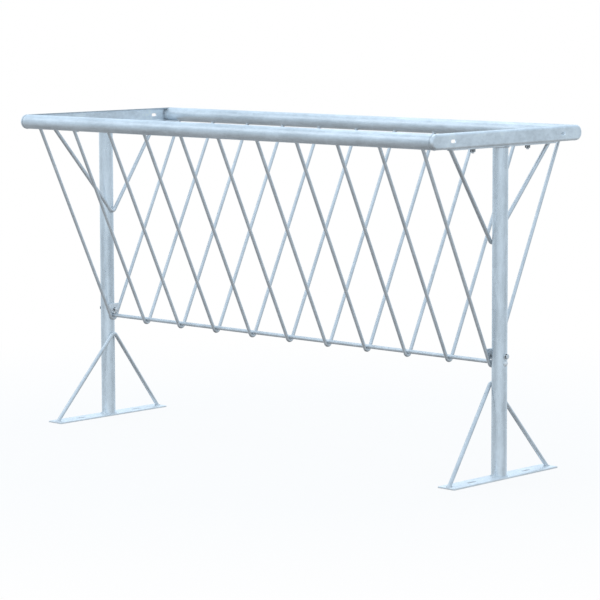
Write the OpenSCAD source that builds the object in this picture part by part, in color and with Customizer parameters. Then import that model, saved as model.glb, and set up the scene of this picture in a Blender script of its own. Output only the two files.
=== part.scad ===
// Free-standing double-sided hay rack: a V-shaped trough of bent rods, hung between
// two round rails and two end channels, bolted on two braced tube stands.
// Origin: middle of the footprint, on the ground. X runs along the rails, Z is up.

/* [Overall] */
// Length over the webs of the two end channels
rack_length = 2300; // [1800:10:3000]
// Distance between the axes of the front and rear rails
rail_spacing = 844; // [700:2:1000]
// Height of the top of the rails above the ground
rim_height = 1340; // [1250:5:1600]
// Distance between the axes of the two posts
post_spacing = 2210; // [1700:10:2900]

/* [Tubes] */
// Outer diameter of the rails
rail_d = 60.3; // [48.3:0.1:76.1]
// Wall of the rails
rail_wall = 2.9; // [2:0.1:5]
// Outer diameter of the posts
post_d = 60.3; // [48.3:0.1:76.1]
// Wall of the posts
post_wall = 2.9; // [2:0.1:5]

/* [Trough rods] */
// Diameter of the bent rods that make the V
hairpin_d = 14; // [10:1:16]
// Number of bent rods
hairpin_count = 11; // [5:2:15]
// Diameter of the long rod at the bottom of the V
bottom_rod_d = 16; // [12:1:18]
// Height of the axis of the bottom rod
bottom_rod_z = 446; // [400:2:560]
// Diameter of the weld dome that closes each end of the bottom rod
rod_dome_d = 20; // [18:1:24]
// Height of that dome
rod_dome_h = 6; // [4:1:9]

/* [End channels] */
// Sheet thickness of the end channels
channel_t = 5; // [3:0.5:6]
// Depth of the rim that meets the rail ends, over the web
rim_depth = 15; // [12:1:20]
// Outer radius of the bend between web and rim
rim_radius = 10; // [7:0.5:11]
// Width of the bottom flange, over the web
flange_w = 75; // [60:1:100]
// Distance between the two slots in each web
web_slot_spacing = 660; // [500:10:680]
// Width of a web slot
web_slot_w = 13; // [10:1:18]
// Overall length of a web slot, along the web
web_slot_length = 30; // [20:1:50]

/* [Foot plates] */
// Length of a foot plate, across the rack
foot_length = 630; // [500:10:760]
// Width of a foot plate
foot_w = 80; // [70:1:90]
// Thickness of a foot plate
foot_t = 6; // [4:0.5:10]
// Distance between the two anchor slots
slot_spacing = 330; // [200:10:400]
// Width of an anchor slot
slot_w = 14; // [10:1:18]
// Overall length of an anchor slot
slot_length = 50; // [30:1:70]

/* [Head plates] */
// Length of a head plate, across the rack
head_length = 606; // [500:2:660]
// Width of a head plate
head_w = 60; // [50:1:70]
// Thickness of a head plate
head_t = 6; // [4:0.5:10]
// Distance between the two bolts in a head plate
head_bolt_spacing = 330; // [200:10:400]

/* [Braces] */
// Diameter of the brace rods
brace_d = 16; // [10:1:16]
// Centreline radius of the bend at the tip of a brace
brace_bend_r = 16; // [12:1:30]
// Height of the tip of the upper braces
upper_tip_z = 906; // [820:2:980]
// Height of the tip of the lower braces
lower_tip_z = 363; // [250:2:400]
// Distance from the end of a head plate to the axis of a brace
upper_inset = 9; // [8:1:30]
// Distance from the end of a foot plate to the axis of a brace
lower_inset = 18; // [10:1:40]

/* [Gussets] */
// Thickness of the bolted plate in each end V
gusset_t = 6; // [3:0.5:8]
// Height of the top of that plate above the bottom rod's axis
gusset_rise = 52; // [48:1:70]
// Height of its bolt above the bottom rod's axis
gusset_bolt_rise = 27; // [26:1:34]

/* [Fasteners] */
// Thread diameter of the bolts
bolt_d = 12; // [10:1:14]
// Width across the flats of bolt heads and nuts
hex_af = 18; // [16:1:22]
// Height of a bolt head
bolt_head_h = 7.5; // [6:0.5:9]
// Height of a nut
nut_h = 10.8; // [8:0.1:13]
// Outer diameter of a washer
washer_d = 24; // [20:1:28]
// Thickness of a washer
washer_t = 2.5; // [1.5:0.1:3]
// Length of thread that shows past a nut
thread_proud = 5; // [2:1:10]

/* [Clearances] */
// Gap between pieces that are welded or rest on a round surface
seat_gap = 0.2; // [0.1:0.05:0.4]
// Gap all round a bolt or rod in its hole
hole_gap = 0.5; // [0.3:0.1:1]

/* [Hidden] */
$fn = 64;

rail_r = rail_d / 2;
post_r = post_d / 2;
hairpin_r = hairpin_d / 2;
bottom_rod_r = bottom_rod_d / 2;
brace_r = brace_d / 2;
rail_y = rail_spacing / 2;
rail_z = rim_height - rail_r;
post_x = post_spacing / 2;
web_x = rack_length / 2;
rail_end_x = web_x - rim_depth;
channel_bottom_z = rail_z - rail_r;
head_bottom_z = channel_bottom_z - head_t;

// The outermost bent rods lie against the posts, and the others divide the space.
end_hairpin_x = post_x - post_r - seat_gap - hairpin_r;
hairpin_pitch = 2 * end_hairpin_x / (hairpin_count - 1);

// A bend is thinner than its legs by a hair and runs into them, so that they always join.
bend_step = 0.05;
bend_overlap = 1;

// Each leg leaves the bottom bend as a tangent and aims at the axis of its rail.
hairpin_bend_r = bottom_rod_r + seat_gap + hairpin_r;
leg_rise = rail_z - bottom_rod_z;
leg_reach = sqrt(pow(rail_y, 2) + pow(leg_rise, 2));
leg_angle = atan2(rail_y, leg_rise) - asin(hairpin_bend_r / leg_reach);
leg_length = sqrt(pow(leg_reach, 2) - pow(hairpin_bend_r, 2));

// The tip of a brace leans against the inner side of its post.
brace_lean = post_r + seat_gap + brace_r;
bolt_hole_d = bolt_d + 2 * hole_gap;
rod_hole_d = bottom_rod_d + 2 * hole_gap;
gusset_bolt_z = bottom_rod_z + gusset_bolt_rise;
overshoot = 40;
trim_depth = 150;

// The gusset lies flush with the inner side of its bent rod, and a thick nut fills the
// space between it and the post.
gusset_inner_x = end_hairpin_x - hairpin_r;
gusset_outer_x = gusset_inner_x + gusset_t;
gusset_clear = 3;
gusset_bottom = bottom_rod_r + gusset_clear;
spacer_h = hairpin_d - gusset_t;

function hairpin_x(i) = -end_hairpin_x + i * hairpin_pitch;

// ---- shared shapes ----

// Cutter for a slot with round ends, its length along Y and its depth along +Z
module slot_cut(length, w, depth) {
    straight = length - w;
    for (e = [-1, 1]) translate([0, e * straight / 2, 0]) cylinder(h = depth, d = w);
    translate([-w / 2, -straight / 2, 0]) cube([w, straight, depth]);
}

// Copies what is drawn for the right-hand end to the side asked for: 1 right, -1 left
module at_side(side) {
    if (side > 0) children();
    else mirror([1, 0, 0]) children();
}

module tube_x(length, d, wall) {
    rotate([0, 90, 0]) difference() {
        cylinder(h = length, d = d, center = true);
        cylinder(h = length + 2, d = d - 2 * wall, center = true);
    }
}

// Bend of a V of round rod in the YZ plane, round the origin: its legs lean out by an
// angle from +Z on both sides
module rod_bend(bend_r, d, lean) {
    extra = bend_overlap / bend_r * 180 / PI;
    rotate([90, 0, 90]) rotate([0, 0, 180 + lean - extra])
        rotate_extrude(angle = 180 - 2 * lean + 2 * extra)
            translate([bend_r, 0]) circle(r = d / 2 - bend_step);
}

module hex_prism(h) {
    cylinder(h = h, d = hex_af / cos(30), $fn = 6);
}

// Bolt along +Z: its head sits below z = 0 and the shank runs up
module hex_bolt(shank) {
    translate([0, 0, -bolt_head_h]) hex_prism(bolt_head_h);
    cylinder(h = shank, d = bolt_d);
}

module hex_nut(h) {
    difference() {
        hex_prism(h);
        translate([0, 0, -1]) cylinder(h = h + 2, d = bolt_d + 2 * seat_gap);
    }
}

module washer() {
    difference() {
        cylinder(h = washer_t, d = washer_d);
        translate([0, 0, -1]) cylinder(h = washer_t + 2, d = bolt_hole_d);
    }
}

// V-bent rod in the YZ plane: its tip's centreline at the origin, its legs rising to
// +Z, their axes passing y = +-reach at height rise
module bent_brace(reach, rise) {
    above = rise - brace_bend_r;
    span = sqrt(pow(reach, 2) + pow(above, 2));
    lean = atan2(reach, above) - asin(brace_bend_r / span);
    translate([0, 0, brace_bend_r]) {
        rod_bend(brace_bend_r, brace_d, lean);
        for (s = [-1, 1]) rotate([-s * lean, 0, 0]) translate([0, s * brace_bend_r, 0])
            cylinder(h = span + overshoot, d = brace_d);
    }
}

// ---- stands ----

module foot_plate(side) {
    color("lightsteelblue") at_side(side) difference() {
        translate([post_x - foot_w / 2, -foot_length / 2, 0]) cube([foot_w, foot_length, foot_t]);
        for (s = [-1, 1]) translate([post_x, s * slot_spacing / 2, -1])
            slot_cut(slot_length, slot_w, foot_t + 2);
    }
}

module post(side) {
    color("lightslategray") at_side(side) translate([post_x, 0, 0]) difference() {
        translate([0, 0, foot_t]) cylinder(h = head_bottom_z - foot_t, d = post_d);
        translate([0, 0, foot_t - 1])
            cylinder(h = head_bottom_z - foot_t + 2, d = post_d - 2 * post_wall);
        translate([0, 0, bottom_rod_z]) rotate([0, 90, 0])
            cylinder(h = post_d + 2, d = rod_hole_d, center = true);
        translate([0, 0, gusset_bolt_z]) rotate([0, 90, 0])
            cylinder(h = post_d + 2, d = bolt_hole_d, center = true);
    }
}

module head_plate(side) {
    color("lightsteelblue") at_side(side) difference() {
        translate([post_x - head_w / 2, -head_length / 2, head_bottom_z])
            cube([head_w, head_length, head_t]);
        for (s = [-1, 1]) translate([post_x, s * head_bolt_spacing / 2, head_bottom_z - 1])
            cylinder(h = head_t + 2, d = bolt_hole_d);
    }
}

module upper_brace(side) {
    rise = head_bottom_z - upper_tip_z;
    slant = sqrt(pow(rise, 2) + pow(brace_lean, 2));
    color("silver") at_side(side) difference() {
        translate([post_x - brace_lean, 0, upper_tip_z]) rotate([0, atan2(brace_lean, rise), 0])
            bent_brace(head_length / 2 - upper_inset, slant);
        translate([post_x - trim_depth, -head_length, head_bottom_z])
            cube([2 * trim_depth, 2 * head_length, trim_depth]);
    }
}

module lower_brace(side) {
    rise = lower_tip_z - foot_t;
    slant = sqrt(pow(rise, 2) + pow(brace_lean, 2));
    color("silver") at_side(side) difference() {
        translate([post_x - brace_lean, 0, lower_tip_z]) rotate([0, 180 - atan2(brace_lean, rise), 0])
            bent_brace(foot_length / 2 - lower_inset, slant);
        translate([post_x - trim_depth, -foot_length, foot_t - trim_depth])
            cube([2 * trim_depth, 2 * foot_length, trim_depth]);
    }
}

// ---- trough ----

module rail(y) {
    color("lightsteelblue") translate([0, y, rail_z]) tube_x(2 * rail_end_x, rail_d, rail_wall);
}

// Section of the rim, from the web's outer face inwards: x is depth, y is height from the
// rail's axis, and inset moves it in by the sheet thickness
module rim_section(inset, depth) {
    half = rail_r - inset;
    bend = rim_radius - inset;
    intersection() {
        union() {
            translate([rim_radius, -half]) square([depth, 2 * half]);
            translate([inset, -half + bend]) square([bend + 1, 2 * (half - bend)]);
            for (s = [-1, 1]) translate([rim_radius, s * (half - bend)]) circle(r = bend);
        }
        translate([inset, -half]) square([depth - inset, 2 * half]);
    }
}

module rim_sheet() {
    difference() {
        rim_section(0, rim_depth);
        rim_section(channel_t, rim_depth + 1);
    }
}

// Upper half of the sheet section, laid out for turning about the rail's axis
module rim_sheet_half() {
    mirror([0, 1]) rotate(-90) intersection() {
        rim_sheet();
        square([rim_depth, rail_r]);
    }
}

module end_channel(side) {
    flange_half = rail_y - sqrt(pow(rail_r, 2) - pow(rail_r - channel_t, 2)) - seat_gap;
    color("lightsteelblue") at_side(side) translate([web_x, 0, rail_z]) difference() {
        union() {
            rotate([90, 0, 0]) mirror([1, 0, 0])
                linear_extrude(height = 2 * rail_y, center = true) rim_sheet();
            for (s = [0, 1]) mirror([0, s, 0]) translate([0, rail_y, 0]) rotate([0, -90, 0])
                rotate_extrude(angle = 180) rim_sheet_half();
            translate([-flange_w, -flange_half, -rail_r])
                cube([flange_w - rim_radius, 2 * flange_half, channel_t]);
        }
        for (s = [-1, 1]) {
            translate([1, s * web_slot_spacing / 2, 0]) rotate([0, -90, 0])
                slot_cut(web_slot_length, web_slot_w, channel_t + 2);
            translate([post_x - web_x, s * head_bolt_spacing / 2, -rail_r - 1])
                cylinder(h = channel_t + 2, d = bolt_hole_d);
        }
    }
}

module bottom_rod() {
    dome_base_x = post_x + post_r + seat_gap;
    dome_r = (pow(rod_dome_d / 2, 2) + pow(rod_dome_h, 2)) / (2 * rod_dome_h);
    color("silver") translate([0, 0, bottom_rod_z]) rotate([0, 90, 0]) {
        cylinder(h = 2 * dome_base_x + 1, d = bottom_rod_d, center = true);
        for (s = [0, 1]) mirror([0, 0, s]) translate([0, 0, dome_base_x]) intersection() {
            translate([0, 0, rod_dome_h - dome_r]) sphere(r = dome_r);
            cylinder(h = rod_dome_h, d = rod_dome_d);
        }
    }
}

module hairpin(index) {
    x = hairpin_x(index - 1);
    color("silver") translate([x, 0, bottom_rod_z]) {
        rod_bend(hairpin_bend_r, hairpin_d, leg_angle);
        for (s = [-1, 1]) difference() {
            rotate([-s * leg_angle, 0, 0]) translate([0, s * hairpin_bend_r, 0])
                cylinder(h = leg_length, d = hairpin_d);
            translate([0, s * rail_y, leg_rise]) rotate([0, 90, 0])
                cylinder(h = 2 * hairpin_d, r = rail_r + seat_gap, center = true);
        }
    }
}

module gusset(side) {
    // Half width of the plate at a height above the bottom rod's axis, clear of the legs
    gap = hairpin_r + seat_gap;
    half_low = gusset_bottom * tan(leg_angle) + (hairpin_bend_r - gap) / cos(leg_angle);
    half_high = gusset_rise * tan(leg_angle) + (hairpin_bend_r - gap) / cos(leg_angle);
    color("lightslategray") at_side(side) difference() {
        translate([gusset_inner_x, 0, bottom_rod_z]) rotate([90, 0, 90])
            linear_extrude(height = gusset_t) polygon([
                [-half_low, gusset_bottom], [half_low, gusset_bottom],
                [half_high, gusset_rise], [-half_high, gusset_rise]
            ]);
        translate([gusset_inner_x - 1, 0, gusset_bolt_z]) rotate([0, 90, 0])
            cylinder(h = gusset_t + 2, d = bolt_hole_d);
    }
}

// ---- fasteners ----

module at_head_bolts() {
    for (side = [-1, 1], s = [-1, 1])
        translate([side * post_x, s * head_bolt_spacing / 2, 0]) children();
}

module head_bolts() {
    grip = channel_t + head_t + 2 * washer_t;
    color("gainsboro") at_head_bolts()
        translate([0, 0, channel_bottom_z + channel_t + washer_t]) mirror([0, 0, 1])
            hex_bolt(grip + nut_h + thread_proud);
}

module head_nuts() {
    color("gainsboro") at_head_bolts()
        translate([0, 0, head_bottom_z - washer_t - nut_h]) hex_nut(nut_h);
}

module head_washers() {
    color("silver") at_head_bolts() {
        translate([0, 0, channel_bottom_z + channel_t]) washer();
        translate([0, 0, head_bottom_z - washer_t]) washer();
    }
}

module at_post_bolts() {
    for (side = [-1, 1]) at_side(side) translate([0, 0, gusset_bolt_z]) rotate([0, -90, 0]) children();
}

module post_bolts() {
    grip = post_x + post_r + seat_gap - gusset_inner_x + 2 * washer_t;
    color("gainsboro") at_post_bolts() translate([0, 0, -post_x - post_r - seat_gap - washer_t])
        hex_bolt(grip + nut_h + thread_proud);
}

module post_nuts() {
    color("gainsboro") at_post_bolts() {
        translate([0, 0, -gusset_inner_x + washer_t]) hex_nut(nut_h);
        translate([0, 0, -gusset_outer_x - spacer_h]) hex_nut(spacer_h);
    }
}

module post_washers() {
    color("silver") at_post_bolts() {
        translate([0, 0, -post_x - post_r - seat_gap - washer_t]) washer();
        translate([0, 0, -gusset_inner_x]) washer();
    }
}

foot_plate(-1);  // foot_plate_left
foot_plate(1);  // foot_plate_right
post(-1);  // post_left
post(1);  // post_right
head_plate(-1);  // head_plate_left
head_plate(1);  // head_plate_right
upper_brace(-1);  // upper_brace_left
upper_brace(1);  // upper_brace_right
lower_brace(-1);  // lower_brace_left
lower_brace(1);  // lower_brace_right
rail(-rail_y);  // front_rail
rail(rail_y);  // rear_rail
end_channel(-1);  // end_channel_left
end_channel(1);  // end_channel_right
bottom_rod();
hairpin(1);  // hairpin_01
hairpin(2);  // hairpin_02
hairpin(3);  // hairpin_03
hairpin(4);  // hairpin_04
hairpin(5);  // hairpin_05
hairpin(6);  // hairpin_06
hairpin(7);  // hairpin_07
hairpin(8);  // hairpin_08
hairpin(9);  // hairpin_09
hairpin(10);  // hairpin_10
hairpin(11);  // hairpin_11
gusset(-1);  // gusset_left
gusset(1);  // gusset_right
head_bolts();
head_nuts();
head_washers();
post_bolts();
post_nuts();
post_washers();
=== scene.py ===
import math
import bpy
from mathutils import Matrix, Vector


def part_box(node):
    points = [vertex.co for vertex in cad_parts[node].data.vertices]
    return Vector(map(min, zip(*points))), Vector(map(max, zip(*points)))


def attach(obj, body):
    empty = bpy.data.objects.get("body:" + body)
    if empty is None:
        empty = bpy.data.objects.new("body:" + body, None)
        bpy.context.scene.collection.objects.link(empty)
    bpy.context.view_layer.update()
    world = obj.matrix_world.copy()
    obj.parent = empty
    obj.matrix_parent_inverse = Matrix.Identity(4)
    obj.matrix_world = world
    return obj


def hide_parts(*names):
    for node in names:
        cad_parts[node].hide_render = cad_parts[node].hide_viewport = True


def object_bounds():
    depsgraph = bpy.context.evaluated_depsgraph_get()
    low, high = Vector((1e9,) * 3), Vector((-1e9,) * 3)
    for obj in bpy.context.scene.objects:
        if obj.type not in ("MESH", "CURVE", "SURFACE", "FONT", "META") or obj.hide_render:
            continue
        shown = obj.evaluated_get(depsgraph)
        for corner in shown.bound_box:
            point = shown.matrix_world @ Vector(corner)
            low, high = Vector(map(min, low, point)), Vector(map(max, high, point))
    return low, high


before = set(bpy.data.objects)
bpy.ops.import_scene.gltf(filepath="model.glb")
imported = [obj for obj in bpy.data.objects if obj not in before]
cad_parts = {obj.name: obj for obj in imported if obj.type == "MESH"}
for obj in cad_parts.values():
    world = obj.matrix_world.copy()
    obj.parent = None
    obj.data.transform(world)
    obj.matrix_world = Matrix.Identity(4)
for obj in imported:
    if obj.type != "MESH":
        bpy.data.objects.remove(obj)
cad_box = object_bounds()
bpy.ops.object.select_all(action="DESELECT")

# ---------------------------------------------------------------- the studio
# A long lens a little above rim height, looking across the right-hand stand.
# Light falls from a broad pale sky, and it dies away towards the ground.
camera_data = bpy.data.cameras.new("camera")
camera = bpy.data.objects.new("camera", camera_data)
bpy.context.scene.collection.objects.link(camera)
bpy.context.scene.camera = camera
camera_data.sensor_width = 36
camera_data.lens = 156.34
camera_data.shift_y = -0.08
camera_data.clip_start = 0.1
camera_data.clip_end = 500
camera.location = (7.3173, -7.7041, 1.8818)
turned, dipped, rolled = math.radians(43.293), math.radians(5.834), math.radians(-0.165)
camera_turn = Matrix.Rotation(turned, 4, "Z")
camera_tilt = Matrix.Rotation(math.pi / 2 - dipped, 4, "X")
camera_roll = Matrix.Rotation(rolled, 4, "Z")
camera.rotation_euler = (camera_turn @ camera_tilt @ camera_roll).to_euler()
bpy.context.scene.view_settings.view_transform = "Standard"


class Value:
    """A node's output that takes part in sums: the operators add Math nodes."""

    def __init__(self, tree, socket):
        self.tree, self.socket = tree, socket

    def maths(self, operation, a, b):
        node = self.tree.nodes.new("ShaderNodeMath")
        node.operation = operation
        for slot, item in zip(node.inputs, (a, b)):
            if isinstance(item, Value):
                self.tree.links.new(item.socket, slot)
            else:
                slot.default_value = item
        return Value(self.tree, node.outputs[0])

    def __add__(self, other):
        return self.maths("ADD", self, other)

    def __radd__(self, other):
        return self.maths("ADD", other, self)

    def __sub__(self, other):
        return self.maths("SUBTRACT", self, other)

    def __rsub__(self, other):
        return self.maths("SUBTRACT", other, self)

    def __mul__(self, other):
        return self.maths("MULTIPLY", self, other)

    def __rmul__(self, other):
        return self.maths("MULTIPLY", other, self)

    def at_most(self, other):
        return self.maths("MINIMUM", self, other)

    def at_least(self, other):
        return self.maths("MAXIMUM", self, other)

    def size(self):
        return self.maths("ABSOLUTE", self, 0.0)


class Shading:
    """A node tree written as expressions: add() takes a node's type, its settings and inputs."""

    def __init__(self, tree):
        self.tree = tree
        tree.nodes.clear()

    def add(self, kind, settings=None, inputs=None, output=0):
        node = self.tree.nodes.new("ShaderNode" + kind)
        for name, item in (settings or {}).items():
            if name == "stops":
                while len(node.color_ramp.elements) < len(item):
                    node.color_ramp.elements.new(0.5)
                for stop, (place, colour) in zip(node.color_ramp.elements, item):
                    stop.position, stop.color = place, colour
            else:
                setattr(node, name, item)
        for name, item in (inputs or {}).items():
            if isinstance(item, Value):
                self.tree.links.new(item.socket, node.inputs[name])
            else:
                node.inputs[name].default_value = item
        return Value(self.tree, node.outputs[output]) if len(node.outputs) else node


world = bpy.data.worlds.new("sky")
bpy.context.scene.world = world
world.use_nodes = True
sky = Shading(world.node_tree)
outward = sky.add("TexCoord", output="Generated")
height = sky.add("SeparateXYZ", inputs={"Vector": outward}, output="Z")
from_ground_to_zenith = [
    (0.0, (0.16, 0.165, 0.17, 1)),
    (0.12, (0.29, 0.30, 0.31, 1)),
    (0.33, (0.44, 0.475, 0.50, 1)),
    (0.50, (0.60, 0.70, 0.785, 1)),
    (0.66, (0.62, 0.745, 0.86, 1)),
    (0.82, (0.65, 0.79, 0.93, 1)),
    (1.0, (0.74, 0.88, 1, 1)),
]
glow = sky.add("ValToRGB", {"stops": from_ground_to_zenith}, {"Fac": height * 0.5 + 0.5})
# It is brightest beyond the rack and behind the camera, and darker to the two sides.
view_line = (-0.69, 0.72, 0.0)
beyond = sky.add(
    "VectorMath", {"operation": "DOT_PRODUCT"}, {0: outward, 1: view_line}, output="Value"
)
brightness = beyond * 0.10 + beyond * beyond * 0.44 + 0.94
soft_light = sky.add("Background", inputs={"Color": glow, "Strength": brightness})
backdrop = sky.add("Background", inputs={"Color": (1, 1, 1, 1), "Strength": 1.0})
seen = sky.add("LightPath", output="Is Camera Ray")
all_round = sky.add("MixShader", inputs={0: seen, 1: soft_light, 2: backdrop})
sky.add("OutputWorld", inputs={"Surface": all_round})


def soft_box(name, place, size, power):
    """A round, slightly cool area light that faces the middle of the rack."""
    data = bpy.data.lights.new(name, "AREA")
    data.shape, data.size, data.energy, data.color = "DISK", size, power, (0.95, 0.98, 1.0)
    light = bpy.data.objects.new(name, data)
    bpy.context.scene.collection.objects.link(light)
    light.location = place
    aim = Vector((0, 0, 0.9)) - Vector(place)
    light.rotation_euler = aim.to_track_quat("-Z", "Y").to_euler()


soft_box("overhead", (-0.8, 1.2, 6.5), 5.0, 45)
soft_box("high_front_left", (-4.0, -4.5, 5.5), 4.0, 35)

# The floor is pale by the feet, where it takes a faint shadow, and it fades into the backdrop.
floor_z = -0.0005
bpy.ops.mesh.primitive_circle_add(
    vertices=96, radius=200, fill_type="NGON", location=(0, 0, floor_z)
)
floor = bpy.context.object
floor.name = "floor"
floor_paint = bpy.data.materials.new("floor")
floor_paint.use_nodes = True
floor_nodes = Shading(floor_paint.node_tree)
where = floor_nodes.add("TexCoord", output="Object")
away = floor_nodes.add("VectorMath", {"operation": "LENGTH"}, {0: where}, output="Value")
shadow_reach, fade_width = 1.3, 2.0
fade = ((away - shadow_reach) * (1 / fade_width)).at_least(0.0).at_most(1.0)
matt = floor_nodes.add("BsdfDiffuse", inputs={"Color": (0.9, 0.9, 0.9, 1)})
lit = floor_nodes.add("Emission", inputs={"Color": (1, 1, 1, 1), "Strength": 1.0})
near = floor_nodes.add("MixShader", inputs={0: 0.86, 1: matt, 2: lit})
whole = floor_nodes.add("MixShader", inputs={0: fade, 1: near, 2: lit})
floor_nodes.add("OutputMaterial", inputs={"Surface": whole})
floor.data.materials.append(floor_paint)
floor.visible_glossy = False
floor.visible_diffuse = False

# ---------------------------------------------------------------- the rails
# Two lengths of two-inch pipe, dipped in zinc after welding. The zinc leaves a pale
# blue-grey skin with soft clouds, small crystals, and runs that follow the pipe.
rail_lo, rail_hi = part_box("front_rail")
pipe_r = (rail_hi[2] - rail_lo[2]) / 2
rail_z = (rail_hi[2] + rail_lo[2]) / 2
rail_y = -(rail_lo[1] + rail_hi[1]) / 2
rail_end = rail_hi[0]


def dipped_steel(name, shade, tint, grain=(1, 1, 1), rough=0.42, crystal=85, relief=0.2,
                 cloudy=1.0, metal=0.8, joint=None):
    """Hot-dip zinc: shade is its lightness, tint its blue, grain stretches the runs in it,
    crystal is how fine its facets are, relief how much they stand up, and cloudy how far it
    varies. At joint, a distance from the middle, a dark line crosses it."""
    finish = bpy.data.materials.new(name)
    finish.use_nodes = True
    zinc = Shading(finish.node_tree)
    place = zinc.add("TexCoord", output="Object")
    along = zinc.add("Mapping", inputs={"Vector": place, "Scale": grain})
    cloud_scale, run_scale, dust_scale = 16.0, 75.0, 420.0
    clouds = zinc.add(
        "TexNoise", inputs={"Vector": along, "Scale": cloud_scale, "Detail": 5.0, "Roughness": 0.6}
    )
    runs = zinc.add(
        "TexNoise", inputs={"Vector": along, "Scale": run_scale, "Detail": 3.0, "Roughness": 0.55}
    )
    crystals = zinc.add("TexVoronoi", inputs={"Vector": place, "Scale": crystal}, output="Color")
    facet = zinc.add("SeparateColor", inputs={"Color": crystals}, output=0)
    dust = zinc.add("TexNoise", inputs={"Vector": place, "Scale": dust_scale, "Detail": 2.0})
    mottle = (clouds - 0.5) * 1.5 * cloudy + (runs - 0.5) * 0.8 * cloudy + (facet - 0.5) * 0.24
    light = (mottle + 0.5).at_least(0.0).at_most(1.0)
    dark_zinc = (shade * 0.80, (shade + tint * 0.55) * 0.80, (shade + tint) * 0.80, 1)
    pale_zinc = (shade * 1.07, (shade + tint * 0.5) * 1.07, (shade + tint * 0.9) * 1.07, 1)
    rgb = {"data_type": "RGBA"}
    colour = zinc.add("Mix", rgb, {0: light, 6: dark_zinc, 7: pale_zinc}, output=2)
    # At joint a dark line is drawn into the colour, soft at its edges and broken by the runs.
    if joint:
        seam_reach, seam_fade, seam_dark = 0.005, 0.003125, (0.26, 0.30, 0.33, 1)
        across = zinc.add("SeparateXYZ", inputs={"Vector": place}, output="X").size()
        inside = (seam_reach - (across - joint).size()) * (1 / seam_fade)
        line = inside.at_least(0.0).at_most(1.0) * (runs * 0.9 + 0.1)
        colour = zinc.add("Mix", rgb, {0: line, 6: colour, 7: seam_dark}, output=2)
    roughness = rough + (clouds - 0.5) * 0.22 + (facet - 0.5) * 0.12
    height = clouds * 0.5 + runs * 0.3 + facet * 0.05 + dust * 0.08
    skin = zinc.add("Bump", inputs={"Strength": relief, "Distance": 0.0015, "Height": height})
    shader = zinc.add(
        "BsdfPrincipled",
        inputs={"Base Color": colour, "Roughness": roughness, "Normal": skin, "Metallic": metal},
    )
    zinc.add("OutputMaterial", inputs={"Surface": shader})
    return finish


def refinish(node, finish):
    """Gives a frame node its zinc skin in place of the plain one."""
    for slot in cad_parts[node].material_slots:
        slot.material = finish


rail_zinc = dipped_steel(
    "zinc_on_rails", 0.81, 0.10, grain=(0.25, 1, 1), rough=0.43, cloudy=1.5, joint=rail_end
)
refinish("front_rail", rail_zinc)
refinish("rear_rail", rail_zinc)

# ---------------------------------------------------------------- the end channels
# Folded sheet with half-round ends, welded to the ends of the pipes and ground flush.
# The web carries a slot near each end, and the bottom flange is bolted to the stand.
channel_zinc = dipped_steel(
    "zinc_on_channels", 0.90, 0.09, grain=(1, 0.5, 1), rough=0.37, crystal=70, cloudy=1.4,
    joint=rail_end,
)
refinish("end_channel_left", channel_zinc)
refinish("end_channel_right", channel_zinc)

# ---------------------------------------------------------------- the posts
# The same pipe, standing, with the runs of zinc going down it. It is welded all round to
# the foot plate below it and to the head plate above it.
post_zinc = dipped_steel("zinc_on_posts", 0.84, 0.09, grain=(1, 1, 0.22), rough=0.32, cloudy=1.8)
refinish("post_left", post_zinc)
refinish("post_right", post_zinc)


def weld_ring(ring_r, bead_r, stretch=1.0, wrap_r=None):
    """A ring of weld about +Z, its ripples standing up a little, longer along X by stretch.
    Where it lies on a pipe that runs along X, wrap_r is that pipe's radius."""
    bpy.ops.mesh.primitive_torus_add(
        major_segments=48, minor_segments=10, major_radius=ring_r, minor_radius=bead_r
    )
    bead = bpy.context.object
    for point in bead.data.vertices:
        angle = math.atan2(point.co.y, point.co.x)
        core = Vector((math.cos(angle), math.sin(angle), 0)) * ring_r
        ripple = 1 + 0.10 * math.cos(angle * 24) + 0.07 * math.sin(angle * 5 + 1.3)
        point.co = core + (point.co - core) * ripple
        point.co.x *= stretch
        if wrap_r:
            point.co.z -= wrap_r - math.sqrt(max(wrap_r ** 2 - point.co.y ** 2, 0))
    bpy.ops.object.shade_smooth()
    bead.select_set(False)
    return bead


def face_outwards():
    """Turns every face of the active piece outwards."""
    bpy.ops.object.mode_set(mode="EDIT")
    bpy.ops.mesh.select_all(action="SELECT")
    bpy.ops.mesh.normals_make_consistent(inside=False)
    bpy.ops.object.mode_set(mode="OBJECT")


def weld_run(length, bead_r, bend_r=None):
    """A short run of weld along X, thin at its ends. With bend_r it bends round an axis
    along Y, that far below it."""
    bpy.ops.mesh.primitive_uv_sphere_add(segments=16, ring_count=28, radius=1)
    bead = bpy.context.object
    for point in bead.data.vertices:
        run = point.co.z
        ripple = 1 + 0.12 * math.cos(run * length * 1300)
        fill = (1 - run ** 4) ** 0.5 / max((1 - run ** 2) ** 0.5, 0.05) if abs(run) < 0.999 else 1
        thick = bead_r * fill * ripple
        point.co = (run * length / 2, point.co.x * thick, point.co.y * thick)
        if bend_r:
            turn, out = point.co.x / bend_r, bend_r + point.co.z
            point.co.x, point.co.z = out * math.sin(turn), out * math.cos(turn) - bend_r
    face_outwards()
    bpy.ops.object.shade_smooth()
    bead.select_set(False)
    return bead


def lay(pattern, name, centre, up, along, finish, node=None):
    """Lays a copy of a pattern, with a mesh of its own: its Z goes up, and its X along."""
    piece = pattern.copy()
    piece.data = pattern.data.copy()
    piece.name = name
    bpy.context.scene.collection.objects.link(piece)
    up = Vector(up).normalized()
    along = (Vector(along) - up * up.dot(Vector(along))).normalized()
    turn = Matrix((along, up.cross(along), up)).transposed().to_4x4()
    piece.data.transform(Matrix.Translation(Vector(centre)) @ turn)
    piece.data.materials.clear()
    piece.data.materials.append(finish)
    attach(piece, "root")
    if node:
        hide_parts(node)
    return piece


def put_away(*patterns):
    """Removes patterns once their copies are laid."""
    for pattern in patterns:
        bpy.data.objects.remove(pattern)


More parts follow.
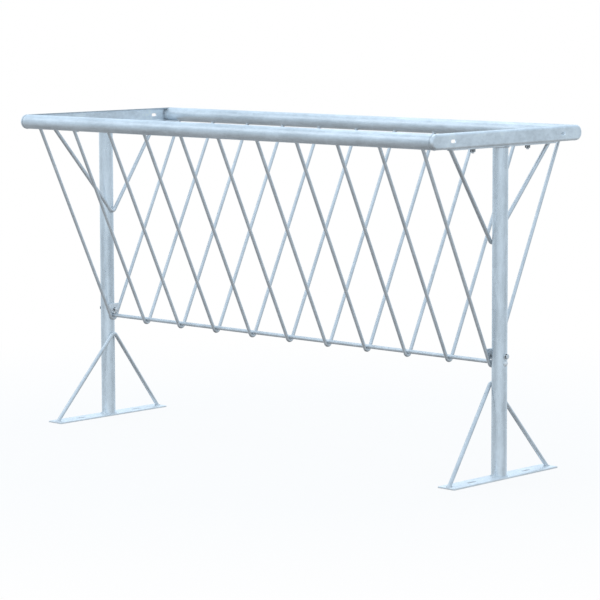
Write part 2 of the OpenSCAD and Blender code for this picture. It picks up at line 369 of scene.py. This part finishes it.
weld_zinc = dipped_steel("zinc_on_welds", 0.80, 0.06, rough=0.40, crystal=160, relief=0.5)
foot_lo, foot_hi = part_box("foot_plate_right")
post_x = (foot_lo[0] + foot_hi[0]) / 2
foot_top, head_under = foot_hi[2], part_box("head_plate_right")[0][2]
sides = {"left": -1, "right": 1}
post_weld = weld_ring(pipe_r + 0.0012, 0.0033)
post_weld_lift = 0.0010
for hand, side in sides.items():
    for end, height, up in (
        ("foot", foot_top + post_weld_lift, 1), ("head", head_under - post_weld_lift, -1)
    ):
        lay(post_weld, f"post_{end}_weld_{hand}", (side * post_x, 0, height), (0, 0, up),
            (1, 0, 0), weld_zinc)
put_away(post_weld)

# ---------------------------------------------------------------- the welds at the rail ends
# The pipes stop short of the web, and a heavy weld fills the gap. Outside, the seam is
# ground flush along its top and its outer side, and stands up a little elsewhere.
gap_weld = weld_ring(pipe_r - 0.0062, 0.0050)
gap_middle = rail_end + 0.005
seam = weld_ring(pipe_r + 0.0001, 0.0012)
skin = 0.00002
flush_front, flush_rear = cad_box[0][1] + skin, cad_box[1][1] - skin
flush_top = cad_box[1][2] - skin
for hand, side in sides.items():
    for row, y in (("front", -rail_y), ("rear", rail_y)):
        lay(gap_weld, f"rail_gap_weld_{row}_{hand}", (side * gap_middle, y, rail_z),
            (side, 0, 0), (0, 1, 0), weld_zinc)
        bead = lay(seam, f"rail_seam_{row}_{hand}", (side * rail_end, y, rail_z),
                   (side, 0, 0), (0, 1, 0), weld_zinc)
        for point in bead.data.vertices:
            point.co.z = min(point.co.z, flush_top)
            point.co.y = max(min(point.co.y, flush_rear), flush_front)
put_away(gap_weld, seam)

# ---------------------------------------------------------------- the foot and head plates
# Flat bar, sheared and drilled, its corners and edges softened by the dip. The gussets
# are cut from the same bar.
plate_zinc = dipped_steel("zinc_on_plates", 0.94, 0.05, grain=(1, 0.4, 1), rough=0.46, crystal=75)


def soft_plate(name, node, edge):
    """A copy of a frame plate with its doubles merged and its edges rounded by the zinc."""
    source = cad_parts[node]
    plate = source.copy()
    plate.data = source.data.copy()
    plate.name = name
    bpy.context.scene.collection.objects.link(plate)
    plate.parent = None
    bpy.context.view_layer.objects.active = plate
    plate.select_set(True)
    bpy.ops.object.mode_set(mode="EDIT")
    bpy.ops.mesh.select_all(action="SELECT")
    bpy.ops.mesh.remove_doubles(threshold=0.00001)
    bpy.ops.mesh.dissolve_limited(angle_limit=math.radians(1))
    bpy.ops.object.mode_set(mode="OBJECT")
    rounding = plate.modifiers.new("rounding", "BEVEL")
    rounding.width, rounding.segments, rounding.limit_method = edge, 3, "ANGLE"
    rounding.angle_limit = math.radians(50)
    bpy.ops.object.modifier_apply(modifier="rounding")
    bpy.ops.object.shade_smooth_by_angle(angle=math.radians(35))
    plate.select_set(False)
    plate.data.materials.clear()
    plate.data.materials.append(plate_zinc)
    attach(plate, "root")
    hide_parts(node)


for hand in sides:
    soft_plate(f"foot_{hand}", f"foot_plate_{hand}", 0.0009)
    soft_plate(f"head_{hand}", f"head_plate_{hand}", 0.0008)
    soft_plate(f"gusset_plate_{hand}", f"gusset_{hand}", 0.0008)

# ---------------------------------------------------------------- the braces
# Round bar bent to a V, one above and one below on each stand. The tip is welded to the
# inner side of the post, and the two ends to the plate.
rod_zinc = dipped_steel(
    "zinc_on_rods", 0.78, 0.06, grain=(1, 1, 0.25), rough=0.38, crystal=110, relief=0.10
)
brace_r = 0.008
brace_slant = 1.27
# For each level: the tip's height, the ends' reach, the plate's face, and the way off it.
brace_levels = (
    ("upper", 0.906, 0.294, head_under, -1),
    ("lower", 0.363, 0.297, foot_top, 1),
)
end_weld = weld_ring(brace_r + 0.0010, 0.0022, stretch=brace_slant)
tip_weld = weld_run(0.022, 0.0028, bend_r=pipe_r)
tip_weld_x, tip_weld_off = post_x - pipe_r - 0.0012, 0.0062
for hand, side in sides.items():
    for level, tip_z, end_y, plate_z, up in brace_levels:
        refinish(f"{level}_brace_{hand}", rod_zinc)
        for row, y in (("front", -end_y), ("rear", end_y)):
            lay(end_weld, f"{level}_brace_weld_{row}_{hand}", (side * post_x, y, plate_z),
                (0, 0, up), (0, 1, 0), weld_zinc)
        for place, z in (("above", tip_z + tip_weld_off), ("below", tip_z - tip_weld_off)):
            lay(tip_weld, f"{level}_tip_weld_{place}_{hand}", (side * tip_weld_x, 0, z),
                (-side, 0, 0), (0, 1, 0), weld_zinc)
put_away(end_weld, tip_weld)

# ---------------------------------------------------------------- the bottom rod
# One length of round bar through both posts. It is welded where it enters a post, and a dome
# of zinc closes the hole on the outer side, near-white: bright zinc, and partly a painted
# highlight.
refinish("bottom_rod", rod_zinc)
rod_z = 0.446
rod_r = 0.008
entry_weld = weld_ring(rod_r + 0.0012, 0.0025, wrap_r=pipe_r)
dome_r, dome_h = 0.0104, 0.0066
dome_weld = weld_ring(dome_r, 0.0012, wrap_r=pipe_r)
# Near-white and barely metallic: bright zinc, and partly a painted highlight that stands in for
# glare.
white_zinc_and_highlight = dipped_steel(
    "zinc_white_and_highlight", 1.0, 0.0, rough=0.28, crystal=300, relief=0.1, cloudy=0.2, metal=0.12
)
bpy.ops.mesh.primitive_uv_sphere_add(segments=32, ring_count=20, radius=dome_r)
dome = bpy.context.object
bpy.ops.object.mode_set(mode="EDIT")
bpy.ops.mesh.select_all(action="SELECT")
bpy.ops.mesh.bisect(
    plane_co=(0, 0, 0.00001), plane_no=(0, 0, 1), use_fill=True, clear_inner=True
)
bpy.ops.object.mode_set(mode="OBJECT")
face_outwards()
for point in dome.data.vertices:
    point.co.z *= dome_h / dome_r
bpy.ops.object.shade_smooth_by_angle(angle=math.radians(40))
dome.select_set(False)
for hand, side in sides.items():
    inner, outer = (side * (post_x - pipe_r), 0, rod_z), (side * (post_x + pipe_r), 0, rod_z)
    lay(entry_weld, f"rod_entry_weld_{hand}", inner, (-side, 0, 0), (0, 0, 1), weld_zinc)
    lay(dome_weld, f"rod_dome_weld_{hand}", outer, (side, 0, 0), (0, 0, 1), weld_zinc)
    lay(dome, f"rod_dome_{hand}", outer, (side, 0, 0), (0, 0, 1), white_zinc_and_highlight)
put_away(entry_weld, dome_weld, dome)

# ---------------------------------------------------------------- the bent rods
# Eleven rods, each bent to a narrow U that hangs under the bottom rod. A leg runs up to
# each rail and is welded to its underside, and two short welds hold the U to the rod.
hairpins = sorted(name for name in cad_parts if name.startswith("hairpin"))
bar_r = 0.007
bend_r = 0.0152
rail_rise = rail_z - rod_z
leg_lean = math.atan2(rail_y, rail_rise) - math.asin(bend_r / math.hypot(rail_y, rail_rise))
leg_weld = weld_ring(bar_r + 0.0008, 0.0020, wrap_r=pipe_r)
u_weld_drop, u_weld_off = 0.0096, 0.0056
u_weld = weld_run(0.017, 0.0021, bend_r=u_weld_drop)
for hairpin in hairpins:
    refinish(hairpin, rod_zinc)
    rod_lo, rod_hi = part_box(hairpin)
    x = (rod_lo[0] + rod_hi[0]) / 2
    for row, side in (("front", -1), ("rear", 1)):
        leg = Vector((0, side * math.sin(leg_lean), math.cos(leg_lean)))
        top = Vector((x, side * rail_y, rail_z)) - leg * pipe_r
        lay(leg_weld, f"{hairpin}_weld_{row}", top, -leg, (1, 0, 0), weld_zinc)
    for place, shift in (("a", -u_weld_off), ("b", u_weld_off)):
        lay(u_weld, f"{hairpin}_u_weld_{place}", (x + shift, 0, rod_z - u_weld_drop),
            (0, 0, -1), (0, 1, 0), weld_zinc)
put_away(leg_weld, u_weld)

# ---------------------------------------------------------------- the welds along the gussets
# A plate stands between the legs of each end rod, just over the bottom rod. It is welded
# to the legs down both of its sides.
gusset_lo, gusset_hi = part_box("gusset_right")
gusset_face = gusset_lo[0]
gusset_mid = (gusset_lo[2] + gusset_hi[2]) / 2
leg_y = (gusset_mid - rod_z) * math.tan(leg_lean) + bend_r / math.cos(leg_lean)
side_weld = weld_run(0.040, 0.0036)
side_weld_x, side_weld_y = gusset_face + 0.0022, leg_y - 0.0050
for hand, side in sides.items():
    for row, edge in (("front", -1), ("rear", 1)):
        lay(side_weld, f"gusset_weld_{row}_{hand}",
            (side * side_weld_x, edge * side_weld_y, gusset_mid), (-side, 0, 0),
            (0, edge * math.sin(leg_lean), math.cos(leg_lean)), weld_zinc)
put_away(side_weld)

# ---------------------------------------------------------------- the bolts, nuts and washers
# Bright M12 bolts. Four hold the end channels down on the head plates. One through each
# post holds the gusset, its head outside, a thick nut between the two, and a nut inside.
bolt_zinc = dipped_steel(
    "zinc_on_bolts", 0.92, 0.02, rough=0.36, crystal=240, relief=0.12, cloudy=0.7, metal=0.6
)
flat_r = 0.009
chamfer_r = flat_r * 0.95
corner_cut = math.tan(math.radians(30))
bar_end_r = 0.006
thread_pitch, thread_depth, thread_length = 0.00175, 0.00095, 0.026
washer_r, bore_share, washer_edge = 0.012, 0.54, 0.0004


def hex_blank(height, both_ends):
    """A hexagon on z = 0 with its corners turned off, at the top or at both ends."""
    bpy.ops.mesh.primitive_cylinder_add(vertices=48, radius=flat_r, depth=height)
    blank = bpy.context.object
    bpy.ops.object.mode_set(mode="EDIT")
    bpy.ops.mesh.select_all(action="DESELECT")
    bpy.ops.mesh.select_face_by_sides(number=48)
    for step in (0.0006, 0.0020, 0.0006):
        bpy.ops.mesh.inset(thickness=step, use_individual=True)
    bpy.ops.object.mode_set(mode="OBJECT")
    rim_r, inset_r, bore_r, countersink = 0.0088, 0.0080, 0.0061, 0.0005
    for point in blank.data.vertices:
        angle, out = math.atan2(point.co.y, point.co.x), math.hypot(point.co.x, point.co.y)
        top = point.co.z > 0
        if out > rim_r:
            wedge = (angle + math.pi / 6) % (math.pi / 3) - math.pi / 6
            reach = flat_r / math.cos(wedge)
            drop = (reach - chamfer_r) * corner_cut if top or both_ends else 0
        elif out > inset_r:
            reach, drop = chamfer_r if top or both_ends else out, 0
        else:
            reach, drop = out, countersink if both_ends and out < bore_r else 0
        level = height / 2 - drop
        z = height / 2 + (level if top else -level)
        point.co = (reach * math.cos(angle), reach * math.sin(angle), z)
    bpy.ops.object.shade_smooth_by_angle(angle=math.radians(25))
    blank.select_set(False)
    return blank


def threaded_bar(length):
    """A 12 mm bar that hangs from z = 0 and is cut with a 1.75 mm thread at its lower end."""
    steps, taper = 6, 0.0012
    rings = int(thread_length / thread_pitch * steps)
    bpy.ops.mesh.primitive_grid_add(x_subdivisions=24, y_subdivisions=rings + 1, size=1)
    bar = bpy.context.object
    for point in bar.data.vertices:
        angle = (point.co.x + 0.5) * math.tau
        ring = round((point.co.y + 0.5) * (rings + 1))
        down = 0 if ring == 0 else length - thread_length + (ring - 1) * thread_pitch / steps
        turn = (down / thread_pitch + angle / math.tau) % 1
        cut = thread_depth * abs(2 * turn - 1) if ring > steps else 0
        tip = max(0, taper - (length - down)) * 0.8
        out = bar_end_r - max(cut, tip)
        point.co = (out * math.cos(angle), -out * math.sin(angle), -down)
    bpy.ops.object.mode_set(mode="EDIT")
    bpy.ops.mesh.select_all(action="SELECT")
    bpy.ops.mesh.remove_doubles(threshold=0.000005)
    bpy.ops.mesh.fill_holes(sides=0)
    bpy.ops.object.mode_set(mode="OBJECT")
    face_outwards()
    bpy.ops.object.shade_smooth_by_angle(angle=math.radians(30))
    bar.select_set(False)
    return bar


def bolt_pattern(head_h, length):
    """A head on z = 0 and its threaded bar below, as one piece."""
    head = hex_blank(head_h, False)
    bar = threaded_bar(length)
    bar.select_set(True)
    head.select_set(True)
    bpy.context.view_layer.objects.active = head
    bpy.ops.object.join()
    head.select_set(False)
    return head


def washer_pattern(thick):
    """A flat ring on z = 0 with its edges rounded."""
    bpy.ops.mesh.primitive_circle_add(vertices=48, radius=washer_r, fill_type="NOTHING")
    ring = bpy.context.object
    bpy.ops.object.mode_set(mode="EDIT")
    bpy.ops.mesh.select_all(action="SELECT")
    bpy.ops.mesh.extrude_edges_move()
    bpy.ops.transform.resize(value=(bore_share, bore_share, 1))
    bpy.ops.object.mode_set(mode="OBJECT")
    body = ring.modifiers.new("body", "SOLIDIFY")
    body.thickness, body.offset = thick, 1
    bpy.ops.object.modifier_apply(modifier="body")
    edges = ring.modifiers.new("edges", "BEVEL")
    edges.width, edges.segments, edges.limit_method = washer_edge, 2, "ANGLE"
    bpy.ops.object.modifier_apply(modifier="edges")
    face_outwards()
    low = min(point.co.z for point in ring.data.vertices)
    ring.data.transform(Matrix.Translation((0, 0, -low)))
    bpy.ops.object.shade_smooth_by_angle(angle=math.radians(35))
    ring.select_set(False)
    return ring


head_h, nut_h, washer_t = 0.0075, 0.0108, 0.0025
head_bolt_y = 0.165
bolts_lo, bolts_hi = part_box("head_bolts")
nuts_lo, nuts_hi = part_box("head_nuts")
bolt = bolt_pattern(head_h, bolts_hi[2] - bolts_lo[2] - head_h)
nut = hex_blank(nut_h, True)
washer = washer_pattern(washer_t)
for hand, side in sides.items():
    for row, y in (("front", -head_bolt_y), ("rear", head_bolt_y)):
        x, up, along = side * post_x, (0, 0, 1), (0.8, 0.6, 0)
        head_under_z = bolts_hi[2] - head_h
        lay(bolt, f"head_bolt_{row}_{hand}", (x, y, head_under_z), up, along, bolt_zinc,
            "head_bolts")
        lay(nut, f"head_nut_{row}_{hand}", (x, y, nuts_lo[2]), up, (1, 0.2, 0), bolt_zinc,
            "head_nuts")
        for place, z in (("upper", head_under_z - washer_t), ("lower", nuts_hi[2])):
            lay(washer, f"head_washer_{place}_{row}_{hand}", (x, y, z), up, along, bolt_zinc,
                "head_washers")
put_away(bolt)

bolts_lo, bolts_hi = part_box("post_bolts")
nuts_lo, nuts_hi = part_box("post_nuts")
bolt_z = (nuts_lo[2] + nuts_hi[2]) / 2
head_inner_x = bolts_hi[0] - head_h
inner_washer_x = gusset_face - washer_t
inner_nut_x = inner_washer_x - nut_h
bar_past_nut, spacer_gap = 0.005, 0.0002
bolt = bolt_pattern(head_h, head_inner_x - (inner_nut_x - bar_past_nut))
spacer = hex_blank(post_x - pipe_r - spacer_gap - gusset_hi[0], True)
for hand, side in sides.items():
    out, along = (side, 0, 0), (0, 0.5, 0.86)
    # The thick nut takes the same finish: bright zinc, and partly a painted highlight where it
    # sits in shade.
    lay(spacer, f"post_spacer_nut_{hand}", (side * gusset_hi[0], 0, bolt_z), out, (0, 1, 0.4),
        white_zinc_and_highlight, "post_nuts")
    lay(bolt, f"post_bolt_{hand}", (side * head_inner_x, 0, bolt_z), out, along, bolt_zinc,
        "post_bolts")
    lay(nut, f"post_nut_{hand}", (side * inner_nut_x, 0, bolt_z), out, (0, 0.3, 1), bolt_zinc,
        "post_nuts")
    for place, x in (("outer", head_inner_x - washer_t), ("inner", inner_washer_x)):
        lay(washer, f"post_washer_{place}_{hand}", (side * x, 0, bolt_z), out, along, bolt_zinc,
            "post_washers")
put_away(bolt, nut, spacer, washer)
